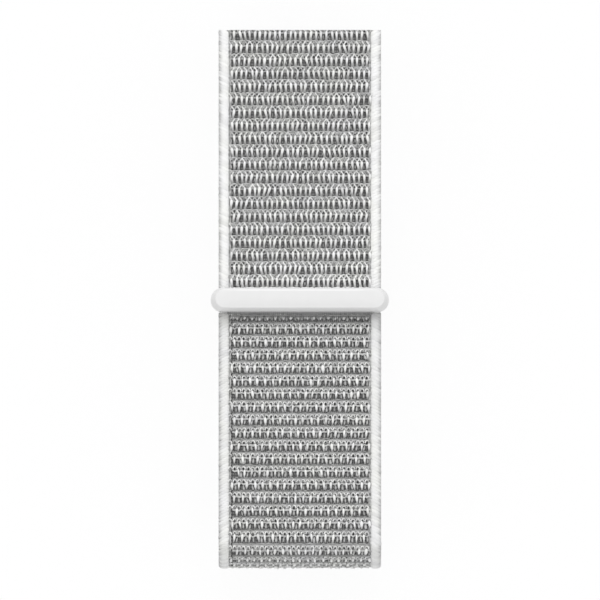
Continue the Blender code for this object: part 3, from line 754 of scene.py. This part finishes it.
def yarn_finish(name, deep, pale, filaments, roughness):
    """Multifilament yarn: its tone from the mesh, fine twisted filaments, and slight shade changes."""
    finish = Finish(name)
    tone = finish.node("Attribute", attribute_name="tone").outputs["Fac"]
    place = finish.place()
    drift = finish.noise(place, 0.35)
    tint = finish.ramp(drift, (0.985, 0.987, 0.968), (0.985, 0.985, 0.995), 0.35, 0.65)
    speck = finish.ramp(finish.noise(place, 9.0), (0.94, 0.94, 0.94), (1, 1, 1), 0.3, 0.6)
    body = finish.ramp(tone, deep, pale)
    colour = finish.times(finish.times(body, tint), speck)
    uv = finish.node("SeparateXYZ", {0: finish.node("UVMap", uv_map="yarn").outputs[0]})
    around = finish.math("MULTIPLY", uv.outputs[0], 2 * math.pi * filaments)
    twist = finish.math("MULTIPLY", uv.outputs[1], 9.0)
    ridge = finish.math("SINE", finish.math("ADD", around, twist))
    sheen = {"Sheen Weight": 0.15, "Sheen Roughness": 0.4, "Specular IOR Level": 0.45}
    normal = finish.bump(ridge, 0.5, 0.02)
    return finish.made({"Base Color": colour, "Normal": normal, "Roughness": roughness, **sheen})


def weave_finish(name, deep, pale):
    """A fine plain weave, from two crossed waves of threads."""
    finish = Finish(name)
    place = finish.place()
    waves = []
    for scale, axis in ((0.72, "Y"), (1.15, "X")):
        inputs = {"Vector": place, "Scale": scale, "Distortion": 0.6, "Detail": 1.0}
        waves.append(finish.node("TexWave", inputs, bands_direction=axis).outputs["Fac"])
    crossed = finish.math("MULTIPLY", *waves)
    worn = finish.noise(place, 3.0, 3.0)
    shade = finish.ramp(crossed, deep, pale, 0.0, 0.8)
    soil = finish.ramp(worn, (0.85, 0.85, 0.86), (1, 1, 1), 0.3, 0.7)
    normal = finish.bump(crossed, 0.6, 0.05)
    colour = finish.times(shade, soil)
    return finish.made({"Base Color": colour, "Normal": normal, "Roughness": 0.8, "Sheen Weight": 0.1})


def plastic_finish(name, pale, roughness, grain, edge=0.12):
    """Moulded plastic with a faint grain in its gloss and slightly duller edges."""
    finish = Finish(name)
    place = finish.place()
    fine = finish.noise(place, 14.0)
    broad = finish.noise(place, 0.6)
    low = tuple(value * 0.985 for value in pale)
    surface = finish.hard_surface(fine, roughness - 0.04, roughness + 0.06, fine, grain, edge)
    colour = finish.ramp(broad, low, pale, 0.35, 0.65)
    return finish.made({"Base Color": colour, "Specular IOR Level": 0.5, **surface})


def metal_finish(name, pale, roughness, grain_scale, grain, stretch, edge):
    """Metal with a blasted or brushed grain, softened edges, and fine handling marks."""
    finish = Finish(name)
    place = finish.place(stretch)
    fine = finish.noise(place, grain_scale, 3.0, 0.6)
    marks = finish.noise(finish.place((300, 2600, 2600)), 1.0, 4.0, 0.7)
    low = tuple(value * 0.86 for value in pale)
    body = finish.ramp(fine, low, pale, 0.3, 0.7)
    worn = finish.ramp(marks, (0.9, 0.9, 0.9), (1, 1, 1), 0.3, 0.55)
    surface = finish.hard_surface(marks, roughness - 0.07, roughness + 0.1, fine, grain, edge)
    return finish.made({"Base Color": finish.times(body, worn), "Metallic": 1.0, **surface})


SKIN_YARN = yarn_finish("skin_side_yarn", (0.02, 0.02, 0.02), (0.98, 0.98, 0.975), 7, 0.38)
OUTER_YARN = yarn_finish("outer_side_yarn", (0.02, 0.02, 0.02), (0.95, 0.95, 0.945), 7, 0.38)
EDGE_YARN = yarn_finish("selvedge_yarn", (0.3, 0.3, 0.3), (0.93, 0.93, 0.925), 9, 0.5)
GROUND_WEAVE = weave_finish("ground_weave", (0.09, 0.09, 0.09), (0.30, 0.30, 0.295))
HEM_WEAVE = weave_finish("hem_weave", (0.25, 0.25, 0.25), (0.62, 0.62, 0.61))
HOOK_PLASTIC = plastic_finish("hook_plastic", (0.72, 0.72, 0.71), 0.42, 0.1, 0.02)
RING_PLASTIC = plastic_finish("ring_plastic", (0.775, 0.775, 0.775), 0.28, 0.03)
ROD_PLASTIC = plastic_finish("rod_plastic", (0.80, 0.80, 0.79), 0.4, 0.2)
BLASTED = metal_finish("blasted_anodised", (0.76, 0.76, 0.77), 0.42, 22.0, 0.35, (1000, 1000, 1000), 0.1)
STEEL = metal_finish("brushed_steel", (0.66, 0.66, 0.67), 0.28, 3.0, 0.3, (200, 4000, 4000), 0.05)


def finished(obj, material):
    """The object, with its only material and that material's slot."""
    obj.data.materials.clear()
    obj.data.materials.append(material)
    return obj


# ---- fabric pieces


def dress_long_strap():
    """The tail and its tab, and the main run below them."""
    first = tail_s(SKIN_ROW_Y)
    low, high = 0.0, TAIL.length
    part = first - round((SKIN_ROW_Y - TAIL_PART_Y) / ROW) * ROW
    # Painted light: the tail's loops beside the clasp bar are made up to 75% paler, fading over about 1 mm
    beside = (tail_s(BAR_HALF_WIDTH), 0.75, 1.2)
    near = skin_loops("tail_skin_loops", TAIL, first, low, part, 1, -1, True, beside)
    skin = skin_loops("tab_skin_loops", TAIL, first, part, high, 1, -1, True)
    outer = outer_loops("tail_outer_loops", TAIL, first, low, tail_s(HOOKS_START_Y), -1, -1, False)
    tip = outer_loops("tab_outer_loops", TAIL, first, tail_s(HOOKS_END_Y), high, -1, -1, False)
    base = ground("tail_ground", TAIL, low, high)
    edges = selvedges("tail_selvedges", TAIL, low, high)
    for piece in (near, skin, outer, tip, base, edges):
        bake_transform(piece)
    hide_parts("closing_tab_skin_pile")
    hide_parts("closing_tab_outer_pile")
    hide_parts("closing_tab_web")

    first = MAIN_ROW_S
    high = MAIN.length
    half = MAIN.length * 0.56
    bend_first = first + math.floor((half - first) / ROW) * ROW
    skin = skin_loops("main_skin_loops", MAIN, first, low, high, -1, 1, False)
    upper = outer_loops("main_outer_loops", MAIN, first, low, half, 1, 1, False)
    lower = outer_loops("bend_outer_loops", MAIN, bend_first, half, high, 1, 1, False)
    base = ground("main_ground", MAIN, low, high)
    edges = selvedges("main_selvedges", MAIN, low, high)
    for piece in (skin, upper, lower, base, edges):
        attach(piece, "long_strap")
    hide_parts("long_strap_skin_pile")
    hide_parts("long_strap_outer_pile")
    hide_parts("long_strap_web")


def dress_short_strap():
    """The strap from the clasp bar to the lower connector, with painted shadow where it comes out from
    under the bar.
    """
    first = short_s(OUTER_ROW_Y)
    low, high = 0.0, SHORT.length
    part = first + round((short_s(SHORT_PART_Y) - first) / ROW) * ROW
    # Painted shadow: the first loops are darkened by up to 62% at the clasp bar, fading over about 1 mm
    near = outer_loops("short_outer_loops", SHORT, first, low, part, -1, 1, True, (0.0, -0.62, 1.0))
    far = outer_loops("short_bend_outer_loops", SHORT, first, part, high, -1, 1, True)
    skin = skin_loops("short_skin_loops", SHORT, first, low, high, 1, 1, False)
    base = ground("short_ground", SHORT, low, high)
    # Painted shadow: the edges are darkened by up to 66% at the clasp bar, fading over about 1.5 mm
    edges = selvedges("short_selvedges", SHORT, low - 0.22, high,
                      pale=0.87, painted_shading=(0.0, -0.66, 1.5), low=beside_bar)
    for piece in (near, far, skin, base, edges):
        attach(piece, "short_strap")
    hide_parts("short_strap_outer_pile")
    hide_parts("short_strap_skin_pile")
    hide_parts("short_strap_web")


def folded_sheet(name, points, thickness, half_width, body):
    """A strip of webbing that follows a line in the Y-Z plane, with fine ribs round its rod."""
    path = Path(points)
    across = np.linspace(-half_width, half_width, 2 * int(half_width / 0.32) + 1)
    along = np.linspace(0, path.length, int(path.length / 0.11) + 1)
    rib = RIB_HEIGHT * (-1.0) ** np.arange(len(across))
    rows = []
    for s in along:
        weft = 0.02 * math.cos(2 * math.pi * s / 0.44)
        top = [(x, s, thickness / 2 + r + weft) for x, r in zip(across, rib)]
        bottom = [(x, s, -thickness / 2) for x in across[::-1]]
        rows.append(top + bottom)
    obj = finished(swept(name, path, np.array(rows)), HEM_WEAVE)
    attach(obj, body)


EYE_RADIUS = 1.02
EYE_THICKNESS = 0.42
EYE_HALF_WIDTH = 9.35
HEM_RADIUS = 0.44
HEM_THICKNESS = 0.2
BACKING_THICKNESS = 0.18
BACKING_ROUNDING = 0.8
HOOK_PITCH = 0.8
HOOK_MARGINS = (0.5, 0.4)

# A hook, from its foot to its tip: y, z and radius
HOOK = np.array([
    (0.0, 0.04, 0.13),
    (0.0, -0.14, 0.115),
    (0.0, -0.32, 0.10),
    (0.05, -0.46, 0.09),
    (0.15, -0.54, 0.085),
    (0.26, -0.50, 0.07),
    (0.30, -0.42, 0.045),
])


def make_eyes():
    """The webbing that holds each rod: round the two strap pins and, in the clasp bar, the anchor rod."""
    for side, body, name in ((1, "long_strap", "long_eye"), (-1, "short_strap", "short_eye")):
        wrap = arc(PIN_AXIS, (EYE_RADIUS, EYE_RADIUS), -55, 258, 90)
        points = np.concatenate([[(24.2, 0.98), (22.6, 1.0)], wrap, [(22.0, 0.55), (24.2, 0.55)]])
        points[:, 0] *= side
        folded_sheet(name, points, EYE_THICKNESS, EYE_HALF_WIDTH, body)
    wrap = arc(HEM_AXIS, (HEM_RADIUS, HEM_RADIUS), 175, -135, 64)
    points = np.concatenate([[(-3.2, 14.30), (-2.0, 14.62)], wrap, [(-2.0, 14.42), (-3.2, 14.12)]])
    folded_sheet("hem", points, HEM_THICKNESS, PANEL_HALF, "short_strap")


def make_hooks():
    """The hook patch: a moulded backing and its field of small J-shaped hooks, facing the main run."""
    low, high = (np.array(corner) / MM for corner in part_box("hook_patch"))
    centre = (low + high) / 2
    size = high - low
    thick = BACKING_THICKNESS
    place = Matrix.Translation((centre[0], centre[1], high[2] - thick / 2))
    place = place @ Matrix.Diagonal((size[0], size[1], thick, 1))
    backing = bmesh.new()
    bmesh.ops.create_cube(backing, size=1, matrix=place)
    upright = [edge for edge in backing.edges if abs(edge.verts[0].co.z - edge.verts[1].co.z) > thick / 2]
    bmesh.ops.bevel(backing, geom=upright, offset=BACKING_ROUNDING, segments=6, profile=0.5, affect="EDGES")
    bmesh.ops.scale(backing, vec=(MM, MM, MM), verts=backing.verts)
    mesh = bpy.data.meshes.new("hook_backing")
    backing.to_mesh(mesh)
    backing.free()
    obj = finished(new_object("hook_backing", mesh), HOOK_PLASTIC)
    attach(obj, "closing_tab")
    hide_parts("hook_patch")

    first, last = HOOK_MARGINS
    xs, ys = (np.arange(low[axis] + first, high[axis] - last, HOOK_PITCH) for axis in (0, 1))
    spots = np.array([(x, y) for x in xs for y in ys])
    turned = np.repeat(np.where(np.arange(len(xs)) % 2, 1, -1), len(ys))
    centres = np.empty((len(spots), len(HOOK), 3))
    centres[..., 0] = spots[:, :1]
    centres[..., 1] = spots[:, 1:] + turned[:, None] * HOOK[:, 0]
    centres[..., 2] = high[2] - thick + HOOK[:, 1]
    hooks = Yarns()
    hooks.add(centres, HOOK[:, 2], 1.0, 5, X_AXIS)
    obj = finished(hooks.build("hooks", None), HOOK_PLASTIC)
    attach(obj, "closing_tab")


def make_springs():
    """The latch springs, one in each connector."""
    turn = np.linspace(0, 2 * np.pi * SPRING_TURNS, 24 * SPRING_TURNS + 1)
    for side, end in ((1, "long"), (-1, "short")):
        centres = np.empty((1, len(turn), 3))
        centres[0, :, 0] = SPRING_RADIUS * np.cos(turn)
        centres[0, :, 1] = side * (LATCH_Y + SPRING_RADIUS * np.sin(turn))
        centres[0, :, 2] = SPRING_FOOT + WIRE_RADIUS + (SPRING_HEIGHT - 2 * WIRE_RADIUS) * turn / turn[-1]
        wire = Yarns()
        wire.add(centres, WIRE_RADIUS, 1.0, 8, Z_AXIS)
        spring = finished(wire.build(end + "_spring_wire", None), STEEL)
        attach(spring, "connector_" + end)
        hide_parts(end + "_latch_spring")
        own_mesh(spring)


# ---- clasp ring

BAR_HALF_LENGTH = 11.96
BAR_HALF_WIDTH = 1.65
BAR_LOW = 14.1
BAR_HIGH = 16.6
UPPER_INSET = 0.125
UPPER_ROUNDING = 0.35
LOWER_ROUNDING = (0.6, 0.45)
LIP_WIDTH = 0.62
LIP_TILTS = (86, 55)
CHEEK_INSIDE = 11.15
CHEEK_HALF = 1.15
CHEEK_TOP_Z = 15.0
SOCKET_RADIUS = 0.65
CHANNEL_RADIUS = 0.72
CHANNEL_HALF_LENGTH = 9.7
SLOT_HALF_HEIGHT = 0.375
SLOT_DEPTH = 2.65
SLOT_OPENINGS = (4, 10)

# The crowned face: insets at the lower side and the ends, and the rise over the face's edge
CROWN = ((0.66, 0.68, 0.005), (0.95, 1.2, 0.10), (1.3, 2.0, 0.18), (1.65, 3.0, 0.235), (2.1, 4.5, 0.26))


def bar_outlines():
    """The bar: a long rounded shape with a steep lip, drawn in more at its lower side, and a crowned face.

    Each outline is given by its insets at the lower side, the upper side and the ends, and its height.
    """
    profile = []
    wide, tall = LOWER_ROUNDING
    for step in range(9):
        turn = math.pi / 2 * step / 8
        inset = wide * (1 - math.sin(turn))
        profile.append((inset, inset, 0.1 * inset, BAR_LOW + tall * (1 - math.cos(turn))))
    face_edge = BAR_HIGH - CROWN[-1][-1]
    steep, slack = (math.radians(tilt) for tilt in LIP_TILTS)
    radius = LIP_WIDTH / (math.sin(steep) - math.sin(slack))
    for step in range(13):
        tilt = steep + (slack - steep) * step / 12
        inset = radius * (math.sin(steep) - math.sin(tilt))
        drop = radius * (math.cos(slack) - math.cos(tilt))
        profile.append((inset, UPPER_INSET, inset, face_edge - drop))
    profile += [(lower, UPPER_INSET, end, face_edge + rise) for lower, end, rise in CROWN]
    outlines = []
    for lower, upper, end, z in profile:
        height = z - (BAR_HIGH - UPPER_ROUNDING)
        if height > 0:
            upper += UPPER_ROUNDING - math.sqrt(max(UPPER_ROUNDING**2 - height**2, 0))
        outline = stadium(BAR_HALF_LENGTH - end, BAR_HALF_WIDTH - (lower + upper) / 2)
        outlines.append([(x, y + (lower - upper) / 2, z) for x, y in outline])
    return outlines


def lofted(name, outlines):
    """A closed mesh through outlines with the same number of points."""
    made = bmesh.new()
    loops = [[made.verts.new(point) for point in outline] for outline in outlines]
    for lower, upper in zip(loops, loops[1:]):
        for index in range(len(lower)):
            after = (index + 1) % len(lower)
            made.faces.new((lower[index], lower[after], upper[after], upper[index]))
    made.faces.new(loops[0][::-1])
    made.faces.new(loops[-1])
    bmesh.ops.recalc_face_normals(made, faces=made.faces)
    mesh = bpy.data.meshes.new(name)
    made.to_mesh(mesh)
    made.free()
    return new_object(name, mesh)


def extruded_x(name, outline, start, stop):
    """A closed outline in the Y-Z plane, drawn along X."""
    return lofted(name, [[(x, y, z) for y, z in outline] for x in (start, stop)])


def stadium(half_length, half_width, steps=32):
    """A long hole's outline: two straight sides and two half-round ends."""
    points = []
    for end in (1, -1):
        for turn in np.pi * (np.arange(steps + 1) / steps - 0.5):
            across = end * (half_length - half_width + half_width * math.cos(turn))
            points.append((across, end * half_width * math.sin(turn)))
    return points


def cut(obj, tool, operation):
    """Adds a boolean by a tool that doesn't render itself."""
    tool.hide_render = True
    modifier = obj.modifiers.new(tool.name, "BOOLEAN")
    modifier.operation = operation
    modifier.object = tool
    modifier.solver = "MANIFOLD"


def make_ring():
    """The ring: the bar and, inside its outline seen from above, two cheeks with the fold bar's sockets."""
    ring = lofted("clasp_ring_moulding", bar_outlines())
    tools = []
    y, z = RING_AXIS
    below = arc(RING_AXIS, (CHEEK_HALF, CHEEK_HALF), 180, 360, 40)
    outline = [(y - CHEEK_HALF, CHEEK_TOP_Z), *below, (y + CHEEK_HALF, CHEEK_TOP_Z)]
    seen_from_above = stadium(BAR_HALF_LENGTH - 0.10, BAR_HALF_WIDTH - 0.05)
    limit = lofted("limit", [[(*point, height) for point in seen_from_above] for height in (z - 3.0, 15.5)])
    socket = arc(RING_AXIS, (SOCKET_RADIUS, SOCKET_RADIUS), 0, 360, 32)[:-1]
    bore = extruded_x("socket", socket, -11.5, 11.5)
    for side in (-1, 1):
        cheek = extruded_x("cheek", outline, side * CHEEK_INSIDE, side * BAR_HALF_LENGTH)
        cut(cheek, limit, "INTERSECT")
        cut(cheek, bore, "DIFFERENCE")
        tools.append((cheek, "UNION"))
    half = CHANNEL_HALF_LENGTH
    channel = arc(HEM_AXIS, (CHANNEL_RADIUS, CHANNEL_RADIUS), 0, 360, 40)[:-1]
    tools.append((extruded_x("channel", channel, -half, half), "DIFFERENCE"))
    slope = math.atan2(HEM_AXIS[1] - SHORT_Z, 2.6)
    down, up = (math.radians(opening) for opening in SLOT_OPENINGS)
    wedge = []
    for angle, edge in ((slope - down, 1), (slope + up, -1)):
        along = (-math.cos(angle), -math.sin(angle))
        off = (-along[1] * -edge * SLOT_HALF_HEIGHT, along[0] * -edge * SLOT_HALF_HEIGHT)
        start = (HEM_AXIS[0] + off[0], HEM_AXIS[1] + off[1])
        end = (start[0] + along[0] * SLOT_DEPTH, start[1] + along[1] * SLOT_DEPTH)
        wedge += [start, end] if edge > 0 else [end, start]
    tools.append((extruded_x("slot", wedge, -half, half), "DIFFERENCE"))
    for tool, operation in tools:
        cut(ring, tool, operation)
    bpy.context.view_layer.update()
    shaped = bpy.data.meshes.new_from_object(ring.evaluated_get(bpy.context.evaluated_depsgraph_get()))
    ring.modifiers.clear()
    ring.data = shaped
    for tool in [limit, bore] + [tool for tool, operation in tools]:
        bpy.data.objects.remove(tool, do_unlink=True)
    shaped.transform(Matrix.Scale(MM, 4))
    shaped.shade_smooth()
    shaped.set_sharp_from_angle(angle=math.radians(32))
    finished(ring, RING_PLASTIC)
    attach(ring, "ring")
    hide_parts("clasp_ring")


def dress_hardware():
    """Finishes for the CAD's own nodes that stay visible."""
    for name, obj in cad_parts.items():
        if name.endswith(("connector", "latch_cover")):
            finished(obj, BLASTED)
        elif name == "anchor_rod":
            finished(obj, ROD_PLASTIC)
        elif name == "fold_bar" or "pin" in name or "latch" in name:
            finished(obj, STEEL)


# ---- studio

CAMERA_LENS = 800
CAMERA_SENSOR = 36
CAMERA_X = 0.02
FRAME_WIDTH = 80.49
FACE_Z = 15.0
WORLD_LIGHT = 0.93
KEY_LIGHT = 0.9
KEY_ELEVATION = 36
KEY_ANGLE = 25
FLOOR_HALF_M = 3.0
FLOOR_Z = -0.12
FLOOR_SEEN_BY_OBJECT = 0.55
FLOOR_SEEN_BY_CAMERA = 0.93
FLOOR_CLEAR = 0.94


def make_camera():
    """A long lens straight above, since the photograph shows no perspective."""
    data = bpy.data.cameras.new("camera")
    data.lens = CAMERA_LENS
    data.sensor_width = CAMERA_SENSOR
    data.clip_start = 0.01
    data.clip_end = 20
    camera = new_object("camera", data)
    distance = FRAME_WIDTH * CAMERA_LENS / CAMERA_SENSOR
    camera.location = (CAMERA_X * MM, 0, (FACE_Z + distance) * MM)
    bpy.context.scene.camera = camera


def background_rays(tree):
    """1 for what the camera sees directly, and what metal and glass show of it."""
    path = add_node(tree, "LightPath")
    total = path.outputs["Is Camera Ray"]
    for name in ("Is Glossy Ray", "Is Transmission Ray"):
        total = add_node(tree, "Math", {0: total, 1: path.outputs[name]}, operation="MAXIMUM").outputs[0]
    return total


def make_light():
    """An even white world, and a wide sun from the side of the tab."""
    world = bpy.data.worlds.new("studio")
    world.use_nodes = True
    bpy.context.scene.world = world
    tree = world.node_tree
    inputs = {"Value": background_rays(tree), "To Min": WORLD_LIGHT, "To Max": 1.0}
    strength = add_node(tree, "MapRange", inputs).outputs[0]
    feed(tree, tree.nodes["Background"], {"Color": (1, 1, 1, 1), "Strength": strength})

    key = bpy.data.lights.new("key", "SUN")
    key.energy = KEY_LIGHT
    key.angle = math.radians(KEY_ANGLE)
    lamp = new_object("key", key)
    lamp.rotation_euler = (math.radians(KEY_ELEVATION - 90), 0, 0)


def make_floor():
    """A floor whose faint share of shadow lies over the white world behind it."""
    mesh = bpy.data.meshes.new("floor")
    half = FLOOR_HALF_M
    corners = [(-half, -half, 0), (half, -half, 0), (half, half, 0), (-half, half, 0)]
    mesh.from_pydata(corners, [], [(0, 1, 2, 3)])
    floor = new_object("floor", mesh)
    floor.location.z = FLOOR_Z * MM
    material = bpy.data.materials.new("floor")
    material.use_nodes = True
    tree = material.node_tree
    tree.nodes.clear()
    rays = background_rays(tree)
    inputs = {"Value": rays, "To Min": FLOOR_SEEN_BY_OBJECT, "To Max": FLOOR_SEEN_BY_CAMERA}
    shade = add_node(tree, "MapRange", inputs).outputs[0]
    share = add_node(tree, "Math", {0: rays, 1: FLOOR_CLEAR}, operation="MULTIPLY").outputs[0]
    diffuse = add_node(tree, "BsdfDiffuse", {"Color": shade}).outputs[0]
    clear = add_node(tree, "BsdfTransparent").outputs[0]
    mix = add_node(tree, "MixShader", {"Fac": share, 1: diffuse, 2: clear}).outputs[0]
    add_node(tree, "OutputMaterial", {"Surface": mix})
    mesh.materials.append(material)


make_camera()
make_light()
make_floor()
bpy.context.scene.view_settings.view_transform = "Standard"
dress_long_strap()
dress_short_strap()
make_eyes()
make_hooks()
make_ring()
make_springs()
dress_hardware()
